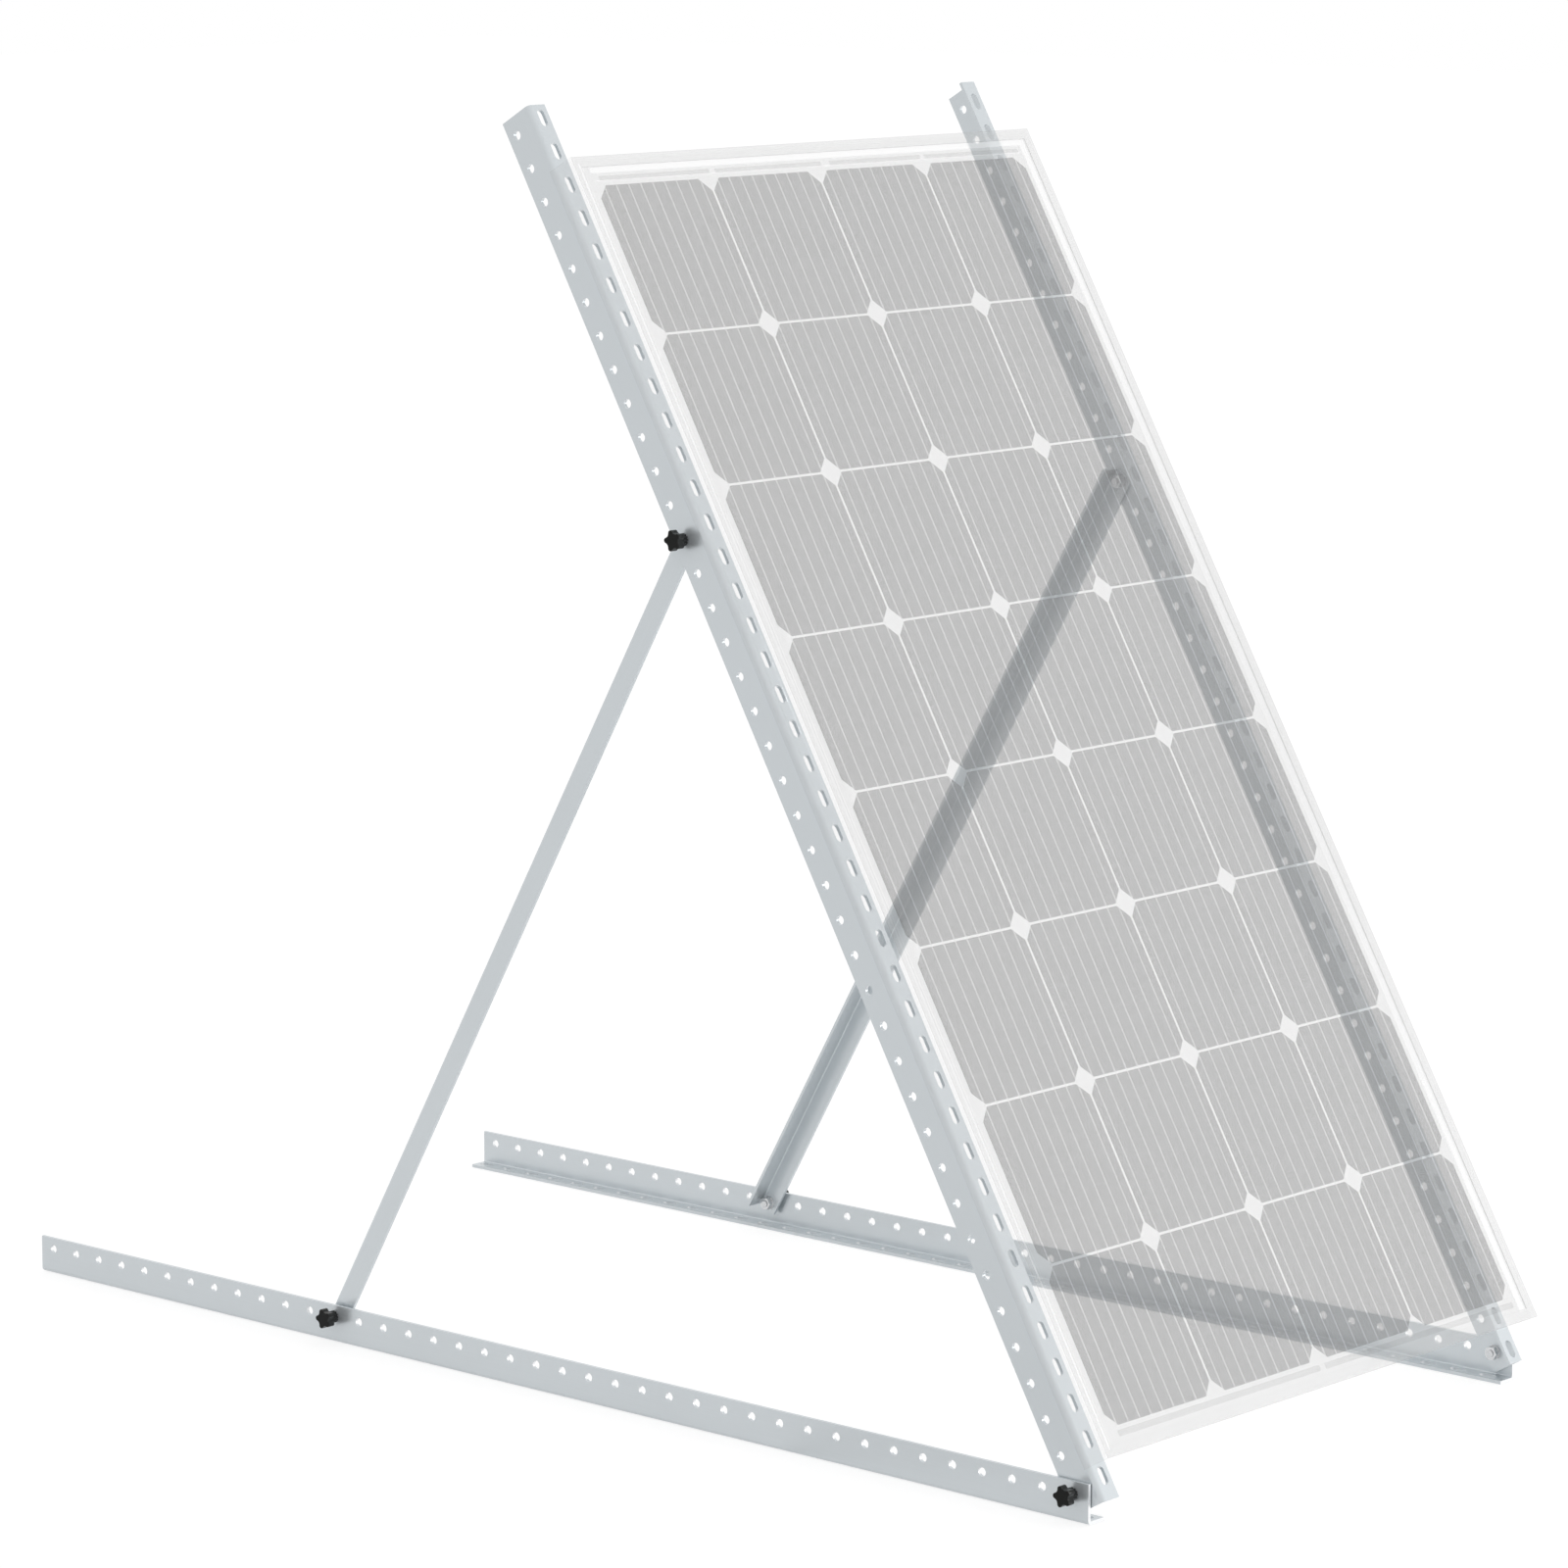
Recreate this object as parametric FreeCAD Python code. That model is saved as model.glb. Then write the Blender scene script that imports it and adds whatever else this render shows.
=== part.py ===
# Ground mount for one framed solar panel: two perforated base rails, two tilt rails
# pinned to their front ends, two struts behind, and the panel on the tilt rails.
# Millimetres. X runs across the mount, Y to the rear, Z up from the ground.
import FreeCAD
import Part

import math
import os

Vector = FreeCAD.Vector
X_AXIS = Vector(1, 0, 0)
Y_AXIS = Vector(0, 1, 0)
Z_AXIS = Vector(0, 0, 1)

# Setting of the mount: tilt in degrees, and the holes that the strut ends are bolted to,
# counted from the pivot hole
TILT_ANGLE = 60.0
TOP_STEPS = 27
FOOT_STEPS = 27

# Perforated rail, four of them alike
RAIL_LENGTH = 1143.0
RAIL_WEB = 31.0
RAIL_FLANGE = 18.5
RAIL_THICKNESS = 2.7
RAIL_BEND_INSIDE = 1.0
HOLE_COUNT = 40
HOLE_FIRST = 14.775
HOLE_DIAMETER = 7.0
HOLE_HEIGHT = 21.5
SLOT_LENGTH = 14.5
SLOT_WIDTH = 7.0
SLOT_LINE = 10.5
SLOT_STAGGER = 3.5

# Strut, plain angle with a hole at each end
STRUT_WEB = 19.5
STRUT_FLANGE = 18.5
STRUT_THICKNESS = 2.5
STRUT_BEND_INSIDE = 1.0
STRUT_HOLE_HEIGHT = 10.0
STRUT_END = 6.5

# Fasteners
STUD_DIAMETER = 6.0
STUD_PROUD = 1.5
STUD_IN_KNOB = 8.0
STUD_CHAMFER = 0.5
THREAD_CLEARANCE = 0.05
WASHER_DIAMETER = 12.0
WASHER_THICKNESS = 1.2
WASHER_CLEARANCE = 0.2
NUT_FLATS = 10.0
NUT_HEIGHT = 5.0
NUT_CHAMFER = 0.6
PIVOT_GAP = 0.8

# Star knob
KNOB_LOBES = 5
KNOB_TIP_RADIUS = 8.3
KNOB_VALLEY_RADIUS = 5.9
KNOB_LOBE_RADIUS = 2.2
KNOB_LOBE_WRAP = 75.0
KNOB_HEAD = 6.4
KNOB_EDGE = 0.7
KNOB_HUB_DIAMETER = 10.0
KNOB_HUB = 6.6
KNOB_FLUTES = 12
KNOB_FLUTE_RADIUS = 0.7
KNOB_SEAT_GAP = 0.1

# Panel, sized by its cells and the margins around them
PANEL_DEPTH = 25.0
PANEL_START = 26.3
PANEL_OVERHANG = 6.25
FRAME_LIP = 9.0
FRAME_WALL = 1.6
FRAME_FOOT = 20.0
LIP_THICKNESS = 1.2
GLASS_THICKNESS = 2.0
GLASS_EDGE_COVER = 7.0
CELL_SIZE = 125.0
CELL_CORNER = 10.5
CELL_THICKNESS = 0.3
CELL_GAP_ACROSS = 2.6
CELL_GAP_ALONG = 2.0
CELL_COLUMNS = 4
CELL_ROWS = 8
CELL_MARGIN_SIDE = 19.1
CELL_MARGIN_FOOT = 21.4
CELL_MARGIN_HEAD = 24.1
BACKSHEET_THICKNESS = 0.5
LAMINATE_CLEARANCE = 0.1

# How far a cutter reaches past what it cuts
OVERSHOOT = 1.0

# Values that follow from the sizes above
pitch = (RAIL_LENGTH - 2 * HOLE_FIRST) / (HOLE_COUNT - 1)
cell_step_across = CELL_SIZE + CELL_GAP_ACROSS
cell_step_along = CELL_SIZE + CELL_GAP_ALONG
panel_width = CELL_COLUMNS * cell_step_across - CELL_GAP_ACROSS + 2 * CELL_MARGIN_SIDE
panel_length = CELL_ROWS * cell_step_along - CELL_GAP_ALONG + CELL_MARGIN_FOOT + CELL_MARGIN_HEAD
tilt = math.radians(TILT_ANGLE)
top_run = TOP_STEPS * pitch
foot_run = FOOT_STEPS * pitch
panel_front = (PANEL_START - HOLE_FIRST) * math.cos(tilt) - (HOLE_HEIGHT + PANEL_DEPTH) * math.sin(tilt)
pivot_y = -(panel_front + RAIL_LENGTH - HOLE_FIRST) / 2
pivot = Vector(0, pivot_y, HOLE_HEIGHT)
strut_top = pivot + Vector(0, top_run * math.cos(tilt), top_run * math.sin(tilt))
strut_foot = pivot + Vector(0, foot_run, 0)
strut_run = strut_top - strut_foot
strut_angle = math.degrees(math.atan2(strut_run.z, strut_run.y))
strut_length = strut_run.Length + 2 * STRUT_END

# Faces across the mount, counted inward from the outer face of the base rail
tilt_face = RAIL_THICKNESS + PIVOT_GAP
strut_face = tilt_face + RAIL_THICKNESS
strut_inner = strut_face + STRUT_THICKNESS
half_width = panel_width / 2 - PANEL_OVERHANG + tilt_face


def cylinder(radius, start, end):
    """Round bar along X between two places on the X axis."""
    return Part.makeCylinder(radius, end - start, Vector(start, 0, 0), X_AXIS)


def angle_profile(web, flange, thickness, bend_inside):
    """L section in the XZ plane: web along Z, flange along X, rounded bend at the origin."""
    outer = bend_inside + thickness
    outer_mid = outer * (1 - math.cos(math.pi / 4))
    inner_mid = thickness + bend_inside * (1 - math.cos(math.pi / 4))
    p = [
        Vector(outer, 0, 0),
        Vector(flange, 0, 0),
        Vector(flange, 0, thickness),
        Vector(outer, 0, thickness),
        Vector(thickness, 0, outer),
        Vector(thickness, 0, web),
        Vector(0, 0, web),
        Vector(0, 0, outer),
    ]
    edges = [
        Part.makeLine(p[0], p[1]),
        Part.makeLine(p[1], p[2]),
        Part.makeLine(p[2], p[3]),
        Part.Arc(p[3], Vector(inner_mid, 0, inner_mid), p[4]).toShape(),
        Part.makeLine(p[4], p[5]),
        Part.makeLine(p[5], p[6]),
        Part.makeLine(p[6], p[7]),
        Part.Arc(p[7], Vector(outer_mid, 0, outer_mid), p[0]).toShape(),
    ]
    return Part.Face(Part.Wire(edges))


def slot_cutter():
    """Round-ended slot along Y, centred on the origin, through the flange."""
    half = (SLOT_LENGTH - SLOT_WIDTH) / 2
    radius = SLOT_WIDTH / 2
    p = [
        Vector(-radius, -half, 0),
        Vector(radius, -half, 0),
        Vector(radius, half, 0),
        Vector(-radius, half, 0),
    ]
    edges = [
        Part.makeLine(p[1], p[2]),
        Part.Arc(p[2], Vector(0, half + radius, 0), p[3]).toShape(),
        Part.makeLine(p[3], p[0]),
        Part.Arc(p[0], Vector(0, -half - radius, 0), p[1]).toShape(),
    ]
    face = Part.Face(Part.Wire(edges))
    face.translate(Vector(0, 0, -OVERSHOOT))
    return face.extrude(Vector(0, 0, RAIL_THICKNESS + 2 * OVERSHOOT))


def rail():
    """Perforated angle along Y: round holes in the web, slots in the flange."""
    profile = angle_profile(RAIL_WEB, RAIL_FLANGE, RAIL_THICKNESS, RAIL_BEND_INSIDE)
    body = profile.extrude(Vector(0, RAIL_LENGTH, 0))
    hole = cylinder(HOLE_DIAMETER / 2, -OVERSHOOT, RAIL_THICKNESS + OVERSHOOT)
    slot = slot_cutter()
    cutters = []
    for i in range(HOLE_COUNT):
        y = HOLE_FIRST + i * pitch
        cutters.append(hole.translated(Vector(0, y, HOLE_HEIGHT)))
        cutters.append(slot.translated(Vector(SLOT_LINE, y - SLOT_STAGGER, 0)))
    return body.cut(Part.makeCompound(cutters)).Solids[0]


def strut():
    """Plain angle along Y with a bolt hole near each end."""
    profile = angle_profile(STRUT_WEB, STRUT_FLANGE, STRUT_THICKNESS, STRUT_BEND_INSIDE)
    body = profile.extrude(Vector(0, strut_length, 0))
    hole = cylinder(HOLE_DIAMETER / 2, -OVERSHOOT, STRUT_THICKNESS + OVERSHOOT)
    for y in (STRUT_END, strut_length - STRUT_END):
        body = body.cut(hole.translated(Vector(0, y, STRUT_HOLE_HEIGHT)))
    return body.Solids[0]


def star_outline(x):
    """Closed outline of the lobed head in the YZ plane at x: lobe arcs joined by valley arcs."""
    lobe_centre = KNOB_TIP_RADIUS - KNOB_LOBE_RADIUS
    step = 2 * math.pi / KNOB_LOBES
    edges = []

    def at(radius, angle):
        return Vector(x, radius * math.cos(angle), radius * math.sin(angle))

    def shoulder(angle, side):
        turn = angle + side * math.radians(KNOB_LOBE_WRAP)
        round_lobe = Vector(0, KNOB_LOBE_RADIUS * math.cos(turn), KNOB_LOBE_RADIUS * math.sin(turn))
        return at(lobe_centre, angle) + round_lobe

    for i in range(KNOB_LOBES):
        here = i * step
        lobe = [shoulder(here, -1), at(KNOB_TIP_RADIUS, here), shoulder(here, 1)]
        valley = [shoulder(here, 1), at(KNOB_VALLEY_RADIUS, here + step / 2), shoulder(here + step, -1)]
        edges.append(Part.Arc(*lobe).toShape())
        edges.append(Part.Arc(*valley).toShape())
    return Part.Wire(edges)


def knob():
    """Star knob on the X axis: fluted hub from x = 0 outward to -x, then the lobed head."""
    reach = KNOB_HUB_DIAMETER / 2
    hub = cylinder(reach, -KNOB_HUB, 0)
    flutes = []
    for i in range(KNOB_FLUTES):
        angle = 2 * math.pi * (i + 0.5) / KNOB_FLUTES
        flute = cylinder(KNOB_FLUTE_RADIUS, -KNOB_HUB, 0)
        flutes.append(flute.translated(Vector(0, reach * math.cos(angle), reach * math.sin(angle))))
    hub = hub.cut(Part.makeCompound(flutes))
    head = Part.Face(star_outline(-KNOB_HUB)).extrude(Vector(-KNOB_HEAD, 0, 0))
    rim = [e for e in head.Edges if e.BoundBox.XMax < -KNOB_HUB - KNOB_HEAD / 2]
    head = head.makeFillet(KNOB_EDGE, rim)
    body = hub.fuse(head).removeSplitter()
    bore = cylinder(STUD_DIAMETER / 2, -STUD_IN_KNOB, OVERSHOOT)
    return body.cut(bore).Solids[0]


def stud(length):
    """Threaded stud from inside the knob inward, with a chamfered free end."""
    bar = cylinder(STUD_DIAMETER / 2, -STUD_IN_KNOB, length)
    tip = [e for e in bar.Edges if e.BoundBox.XMin > length - STUD_CHAMFER]
    return bar.makeChamfer(STUD_CHAMFER, tip)


def washer(thickness, start):
    """Flat ring whose outer face is at start on the X axis."""
    end = start + thickness
    ring = cylinder(WASHER_DIAMETER / 2, start, end)
    bore = cylinder(STUD_DIAMETER / 2 + WASHER_CLEARANCE, start - OVERSHOOT, end + OVERSHOOT)
    return ring.cut(bore)


def nut(start):
    """Hexagon nut whose seat is at start on the X axis, chamfered on its free end."""
    reach = NUT_FLATS / math.sqrt(3)
    end = start + NUT_HEIGHT
    angles = [math.pi * k / 3 for k in range(7)]
    points = [Vector(start, reach * math.cos(a), reach * math.sin(a)) for a in angles]
    block = Part.Face(Part.makePolygon(points)).extrude(Vector(NUT_HEIGHT, 0, 0))
    tip = reach - NUT_CHAMFER
    cone = Part.makeCone(tip + NUT_HEIGHT, tip, NUT_HEIGHT, Vector(start, 0, 0), X_AXIS)
    bore = cylinder(STUD_DIAMETER / 2 + THREAD_CLEARANCE, start - OVERSHOOT, end + OVERSHOOT)
    return block.common(cone).cut(bore)


def frame_profile():
    """Panel frame section in the XZ plane: outer wall at x = 0, lip and groove on top, foot below."""
    groove_top = PANEL_DEPTH - LIP_THICKNESS
    laminate = GLASS_THICKNESS + CELL_THICKNESS + BACKSHEET_THICKNESS
    groove_bottom = groove_top - laminate - 2 * LAMINATE_CLEARANCE
    points = [
        (0, 0),
        (FRAME_FOOT, 0),
        (FRAME_FOOT, FRAME_WALL),
        (FRAME_WALL, FRAME_WALL),
        (FRAME_WALL, groove_bottom - FRAME_WALL),
        (FRAME_LIP, groove_bottom - FRAME_WALL),
        (FRAME_LIP, groove_bottom),
        (FRAME_WALL, groove_bottom),
        (FRAME_WALL, groove_top),
        (FRAME_LIP, groove_top),
        (FRAME_LIP, PANEL_DEPTH),
        (0, PANEL_DEPTH),
    ]
    return [Vector(x, 0, z) for x, z in points]


def frame_member(length):
    """Frame bar along Y from 0 to length, mitred at 45 degrees at both ends."""
    points = frame_profile()
    bar = Part.Face(Part.makePolygon(points + points[:1])).extrude(Vector(0, length, 0))
    wide = FRAME_FOOT + OVERSHOOT
    for y, way in ((0, 1), (length, -1)):
        outside = Vector(-OVERSHOOT, y - way * OVERSHOOT, -OVERSHOOT)
        beside = Vector(wide, y - way * OVERSHOOT, -OVERSHOOT)
        inside = Vector(wide, y + way * wide, -OVERSHOOT)
        corner = Part.Face(Part.makePolygon([outside, beside, inside, outside]))
        bar = bar.cut(corner.extrude(Vector(0, 0, PANEL_DEPTH + 2 * OVERSHOOT)))
    return bar.Solids[0]


def cell(x, y, z):
    """Square wafer with clipped corners, centred at x, y, resting at z."""
    half = CELL_SIZE / 2
    clip = half - CELL_CORNER
    outline = [
        (half, clip),
        (clip, half),
        (-clip, half),
        (-half, clip),
        (-half, -clip),
        (-clip, -half),
        (clip, -half),
        (half, -clip),
    ]
    points = [Vector(x + px, y + py, z) for px, py in outline]
    return Part.Face(Part.makePolygon(points + points[:1])).extrude(Vector(0, 0, CELL_THICKNESS))


def move(shape, rotation, offset):
    """Copy of a shape turned by a rotation and then shifted."""
    out = shape.copy()
    out.Placement = FreeCAD.Placement(offset, rotation).multiply(out.Placement)
    return out


def on_slope(shape):
    """From slope axes (X across, Y up the slope, Z out of the panel, pivot at the origin) to the mount."""
    return move(shape, FreeCAD.Rotation(X_AXIS, TILT_ANGLE), pivot)


def mirror_turn(shape):
    """The same piece on the other side, turned half a turn about Z."""
    return move(shape, FreeCAD.Rotation(Z_AXIS, 180), Vector())


pieces = {}

# Base rails: the right one is the left one turned end for end
bar = rail()
half_turn = FreeCAD.Rotation(Z_AXIS, 180)
base_front = pivot_y - HOLE_FIRST
pieces["base_rail_left"] = bar.translated(Vector(-half_width, base_front, 0))
pieces["base_rail_right"] = move(bar, half_turn, Vector(half_width, base_front + RAIL_LENGTH, 0))

# Tilt rails: flange to the panel, web behind it, against the inside of the base rail
rail_head = RAIL_LENGTH - HOLE_FIRST
left_place = Vector(-half_width + tilt_face, rail_head, HOLE_HEIGHT)
right_place = Vector(half_width - tilt_face, -HOLE_FIRST, HOLE_HEIGHT)
left_tilt = move(bar, FreeCAD.Rotation(X_AXIS, 180), left_place)
right_tilt = move(bar, FreeCAD.Rotation(Y_AXIS, 180), right_place)
pieces["tilt_rail_left"] = on_slope(left_tilt)
pieces["tilt_rail_right"] = on_slope(right_tilt)

# Struts: flange up and to the rear, web against the inside of the tilt rail
brace = strut().translated(Vector(0, -STRUT_END, -STRUT_HOLE_HEIGHT))
left_turn = FreeCAD.Rotation(X_AXIS, strut_angle)
right_turn = left_turn.multiply(half_turn)
pieces["strut_left"] = move(brace, left_turn, strut_foot + Vector(-half_width + strut_face, 0, 0))
pieces["strut_right"] = move(brace, right_turn, strut_top + Vector(half_width - strut_face, 0, 0))

# Knob sets: place on the mount, face that the knob bears on, rings, nut seat
stations = {
    "pivot": (pivot, 0, [("spacer", RAIL_THICKNESS, PIVOT_GAP)], tilt_face + RAIL_THICKNESS),
    "strut_top": (strut_top, tilt_face, [], strut_inner),
    "strut_foot": (strut_foot, 0, [("spacer", RAIL_THICKNESS, strut_face - RAIL_THICKNESS)], strut_inner),
}
star = knob()
for name, (place, seat, rings, stack_end) in stations.items():
    nut_seat = stack_end + WASHER_THICKNESS
    stud_end = nut_seat + NUT_HEIGHT + STUD_PROUD
    head = star.translated(Vector(seat - KNOB_SEAT_GAP, 0, 0))
    bolt = stud(stud_end - seat + KNOB_SEAT_GAP).translated(Vector(seat - KNOB_SEAT_GAP, 0, 0))
    group = {
        name + "_knob": head,
        name + "_stud": bolt,
        name + "_washer": washer(WASHER_THICKNESS, stack_end),
        name + "_nut": nut(nut_seat),
    }
    for kind, start, thickness in rings:
        group[name + "_" + kind] = washer(thickness, start)
    for key, shape in group.items():
        placed = shape.translated(Vector(-half_width, 0, 0))
        pieces[key + "_left"] = placed.translated(place)
        pieces[key + "_right"] = mirror_turn(placed).translated(place)

# Panel, built flat on the tilt rail flanges and then tilted with them
panel_y = PANEL_START - HOLE_FIRST
side = frame_member(panel_length)
end = frame_member(panel_width)
half_panel = panel_width / 2
quarter = FreeCAD.Rotation(Z_AXIS, 90)
glass_bottom = PANEL_DEPTH - LIP_THICKNESS - LAMINATE_CLEARANCE - GLASS_THICKNESS
cell_bottom = glass_bottom - CELL_THICKNESS
sheet_bottom = cell_bottom - BACKSHEET_THICKNESS
sheet_inset = FRAME_LIP - GLASS_EDGE_COVER
sheet_width = panel_width - 2 * sheet_inset
sheet_length = panel_length - 2 * sheet_inset


def sheet(thickness, bottom):
    """Flat sheet that the frame's groove holds all round."""
    corner = Vector(-sheet_width / 2, sheet_inset, bottom)
    return Part.makeBox(sheet_width, sheet_length, thickness, corner)


wafers = []
for column in range(CELL_COLUMNS):
    for row in range(CELL_ROWS):
        x = (column - (CELL_COLUMNS - 1) / 2) * cell_step_across
        y = CELL_MARGIN_FOOT + CELL_SIZE / 2 + row * cell_step_along
        wafers.append(cell(x, y, cell_bottom))
flat = {
    "panel_frame_left": side.translated(Vector(-half_panel, 0, 0)),
    "panel_frame_right": move(side, half_turn, Vector(half_panel, panel_length, 0)),
    "panel_frame_bottom": move(end, quarter, Vector(half_panel, 0, 0)),
    "panel_frame_top": move(end, quarter.inverted(), Vector(-half_panel, panel_length, 0)),
    "panel_glass": sheet(GLASS_THICKNESS, glass_bottom),
    "panel_cells": Part.makeCompound(wafers),
    "panel_backsheet": sheet(BACKSHEET_THICKNESS, sheet_bottom),
}
for key, shape in flat.items():
    pieces[key] = on_slope(shape.translated(Vector(0, panel_y, HOLE_HEIGHT)))

os.makedirs("parts", exist_ok=True)
for key, shape in pieces.items():
    if not shape.isValid():
        raise ValueError(key + " is not a valid solid")
    shape.exportStep("parts/" + key + ".step")
whole = Part.makeCompound(list(pieces.values())).BoundBox
print(len(pieces), "nodes, size", round(whole.XLength, 2), round(whole.YLength, 2), round(whole.ZLength, 2))
print("centre", round(whole.Center.x, 3), round(whole.Center.y, 3), "lowest", round(whole.ZMin, 3))
for key in ("pivot", "strut_top", "strut_foot"):
    print(key, [round(v, 3) for v in stations[key][0]])
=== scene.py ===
# Looks of the ground mount: bright metal rails and struts, black star knobs,
# and the panel drawn see-through. Metres, in the mount's own axes.
import math

import bmesh
import bpy
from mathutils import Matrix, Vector


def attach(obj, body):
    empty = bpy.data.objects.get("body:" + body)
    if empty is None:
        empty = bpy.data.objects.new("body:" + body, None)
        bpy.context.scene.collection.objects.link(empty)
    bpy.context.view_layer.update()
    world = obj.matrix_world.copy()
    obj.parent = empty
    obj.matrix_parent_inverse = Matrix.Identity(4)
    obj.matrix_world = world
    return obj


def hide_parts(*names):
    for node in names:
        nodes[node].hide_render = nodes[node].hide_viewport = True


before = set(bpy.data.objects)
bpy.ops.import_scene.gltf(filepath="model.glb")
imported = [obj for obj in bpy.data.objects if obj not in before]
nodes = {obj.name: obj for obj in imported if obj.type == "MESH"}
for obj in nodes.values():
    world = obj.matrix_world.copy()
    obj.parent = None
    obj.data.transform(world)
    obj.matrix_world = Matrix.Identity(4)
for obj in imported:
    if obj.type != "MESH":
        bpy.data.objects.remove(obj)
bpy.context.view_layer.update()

# Camera of the photograph, a square frame of 1600 pixels
CAMERA_PLACE = (-3.5093, -3.1433, 1.2299)
CAMERA_HEADING = 48.383
CAMERA_DIP = 9.377
CAMERA_LENS = 135.18
SENSOR = 36.0

# Setting that the looks share with the mount
TILT = math.radians(60)
UP_SLOPE = Vector((0, math.cos(TILT), math.sin(TILT)))
OUT_OF_PANEL = Vector((0, -math.sin(TILT), math.cos(TILT)))
ACROSS = Vector((1, 0, 0))

# Cells and the ribbons on them
CELL_COLUMNS = 4
CELL_SIZE = 0.125
CELL_GAP_ACROSS = 0.0026
RIBBONS_PER_CELL = 9
RIBBON_PITCH = 0.01348
RIBBON_WIDTH = 0.0014
RIBBON_HEIGHT = 0.00003

# Hair gap that keeps laid-together sheets apart, and the ribbons' lift above the cells
HAIR = 0.00006
RIBBON_LIFT = 0.00001

# Panel frame section, inward from its outer face and up from its back
FRAME_DEPTH = 0.025
FRAME_LIP = 0.009
FRAME_WALL = 0.0016
FRAME_FOOT = 0.020
LIP_THICKNESS = 0.0012
SHELF_TOP = 0.0208
EDGE_EASE = 0.0004
LIP_EASE = 0.0003
EDGE_LINE = 0.0009
# Painted highlight: a white line on the left side's lip, between these distances inward from the outer face
LIP_HIGHLIGHT = (0.0054, 0.0068)


# Small tools for building shader nodes
def new_group(name, inputs, outputs):
    """Shader node group with named inputs and outputs, and its own in and out nodes."""
    group = bpy.data.node_groups.new(name, "ShaderNodeTree")
    for label, kind, value in inputs:
        socket = group.interface.new_socket(name=label, in_out="INPUT", socket_type=kind)
        if value is not None:
            socket.default_value = value
    for label, kind in outputs:
        group.interface.new_socket(name=label, in_out="OUTPUT", socket_type=kind)
    return group, group.nodes.new("NodeGroupInput"), group.nodes.new("NodeGroupOutput")


def add(tree, kind, **settings):
    """New node with its settings; a setting named after an input socket goes on that socket."""
    node = tree.nodes.new(kind)
    for key, value in settings.items():
        if hasattr(node, key):
            setattr(node, key, value)
        else:
            node.inputs[key.replace("_", " ")].default_value = value
    return node


def maths(tree, operation, a, b=None, c=None):
    """Math node of one operation; each argument is a socket or a plain number."""
    node = tree.nodes.new("ShaderNodeMath")
    node.operation = operation
    for index, value in enumerate((a, b, c)):
        if value is None:
            continue
        if isinstance(value, (int, float)):
            node.inputs[index].default_value = value
        else:
            tree.links.new(value, node.inputs[index])
    return node.outputs[0]


def swing(tree, noise, amount):
    """Noise moved to swing round 0, by the amount."""
    return maths(tree, "MULTIPLY", maths(tree, "SUBTRACT", noise, 0.5), amount)


def scaled_colour(tree, colour, level):
    """Plain colour made darker or lighter by a level socket."""
    node = add(tree, "ShaderNodeVectorMath", operation="SCALE")
    node.inputs[0].default_value = colour
    tree.links.new(level, node.inputs["Scale"])
    return node.outputs["Vector"]


def bump_from(tree, shader, height, strength, distance):
    """Bump on the shader's normal, from a height socket."""
    bump = add(tree, "ShaderNodeBump", Strength=strength, Distance=distance)
    tree.links.new(height, bump.inputs["Height"])
    tree.links.new(bump.outputs["Normal"], shader.inputs["Normal"])


def blend_colour(tree, share, a, b):
    """Colour a turning into colour b by share; each is a socket or a plain colour."""
    node = tree.nodes.new("ShaderNodeMix")
    node.data_type = "RGBA"
    for index, value in ((0, share), (6, a), (7, b)):
        if isinstance(value, bpy.types.NodeSocket):
            tree.links.new(value, node.inputs[index])
        else:
            node.inputs[index].default_value = value
    return node.outputs[2]


def grey(level, alpha=1.0):
    """Plain grey as a colour with alpha."""
    return (level, level, level, alpha)


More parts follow.
